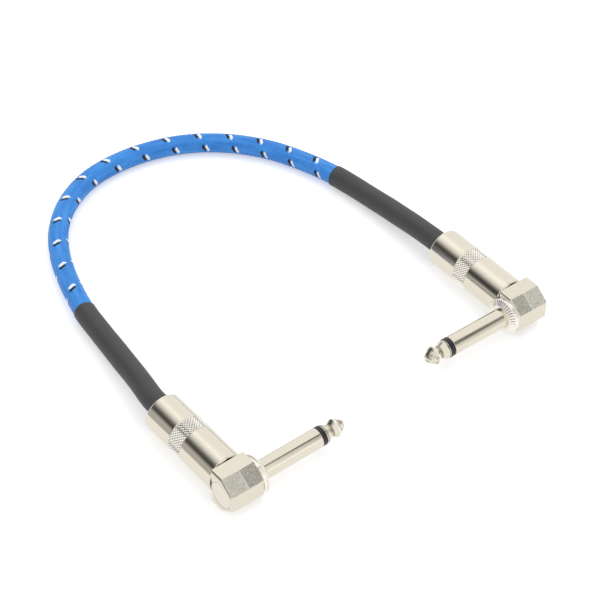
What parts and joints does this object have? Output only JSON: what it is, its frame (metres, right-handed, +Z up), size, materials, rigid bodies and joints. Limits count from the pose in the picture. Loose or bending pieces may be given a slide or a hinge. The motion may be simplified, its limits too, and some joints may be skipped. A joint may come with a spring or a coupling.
{
  "type": "instrument cable",
  "caption": "Short braided instrument patch lead with a right-angle 6.35 mm mono plug at each end; each plug's barrel unscrews from its elbow.",
  "frame": {"origin": "middle of the two plugs' footprint, on the surface that the lead lies on", "axes": "+Z up from that surface; +Y from the plugs towards the bight of the cable, +X from the left plug towards the right one"},
  "size_m": [0.1608, 0.1739, 0.0132],
  "materials": {
    "nickel_turned": "bright nickel plate over turned brass, warm and slightly yellow",
    "nickel_cast": "nickel plate over a die casting, faintly pitted on the slanted facets",
    "nickel_shaft": "bright nickel plate over turned brass",
    "clamp_strip": "plated strip",
    "brass": "plain turned brass",
    "copper": "bare copper",
    "black_insulator": "smooth black moulding",
    "liner_plastic": "milky tube",
    "fibre": "hard fibre",
    "heat_shrink": "satin black shrunk tube",
    "sheath_rubber": "matt black",
    "dielectric": "milky insulation",
    "jacket_braid": "fine blue braid with black and white tracer marks"
  },
  "bodies": {
    "root": {"right_elbow": "nickel_cast", "right_elbow_cap": "nickel_turned", "right_sleeve": "nickel_shaft", "right_insulator_ring": "black_insulator", "right_inner_insulator": "black_insulator", "right_tip": "nickel_shaft", "right_centre_rod": "brass", "right_rear_washer": "fibre", "right_tip_lug": "brass", "right_cable_clamp": "clamp_strip", "right_heat_shrink": "heat_shrink", "right_sheath": "sheath_rubber", "right_shield": "copper", "right_dielectric": "dielectric", "right_conductor": "copper", "left_elbow": "nickel_cast", "left_elbow_cap": "nickel_turned", "left_sleeve": "nickel_shaft", "left_insulator_ring": "black_insulator", "left_inner_insulator": "black_insulator", "left_tip": "nickel_shaft", "left_centre_rod": "brass", "left_rear_washer": "fibre", "left_tip_lug": "brass", "left_cable_clamp": "clamp_strip", "left_heat_shrink": "heat_shrink", "left_sheath": "sheath_rubber", "left_shield": "copper", "left_dielectric": "dielectric", "left_conductor": "copper", "braided_jacket": "jacket_braid"},
    "right_liner_body": {"right_liner": "liner_plastic"},
    "right_barrel_body": {"right_barrel": "nickel_turned"},
    "left_liner_body": {"left_liner": "liner_plastic"},
    "left_barrel_body": {"left_barrel": "nickel_turned"}
  },
  "joints": [
    {"name": "right_barrel_unscrew", "type": "hinge", "parent": "right_liner_body", "child": "right_barrel_body", "pos_m": [0.04122, 0.04067, 0.0066], "axis": [-0.6088, 0.7934, 0], "range_deg": [0, 1800]},
    {"name": "right_barrel_back_off", "type": "slide", "parent": "root", "child": "right_liner_body", "axis": [-0.6088, 0.7934, 0], "range_m": [0, 0.00501]},
    {"name": "left_barrel_unscrew", "type": "hinge", "parent": "left_liner_body", "child": "left_barrel_body", "pos_m": [-0.04605, -0.03395, 0.0066], "axis": [-0.6225, 0.7826, 0], "range_deg": [0, 1800]},
    {"name": "left_barrel_back_off", "type": "slide", "parent": "root", "child": "left_liner_body", "axis": [-0.6225, 0.7826, 0], "range_m": [0, 0.00501]}
  ],
  "couplings": [
    {"joint": "right_barrel_back_off", "follows": "right_barrel_unscrew", "m_per_rad": 0.00015915},
    {"joint": "left_barrel_back_off", "follows": "left_barrel_unscrew", "m_per_rad": 0.00015915}
  ]
}
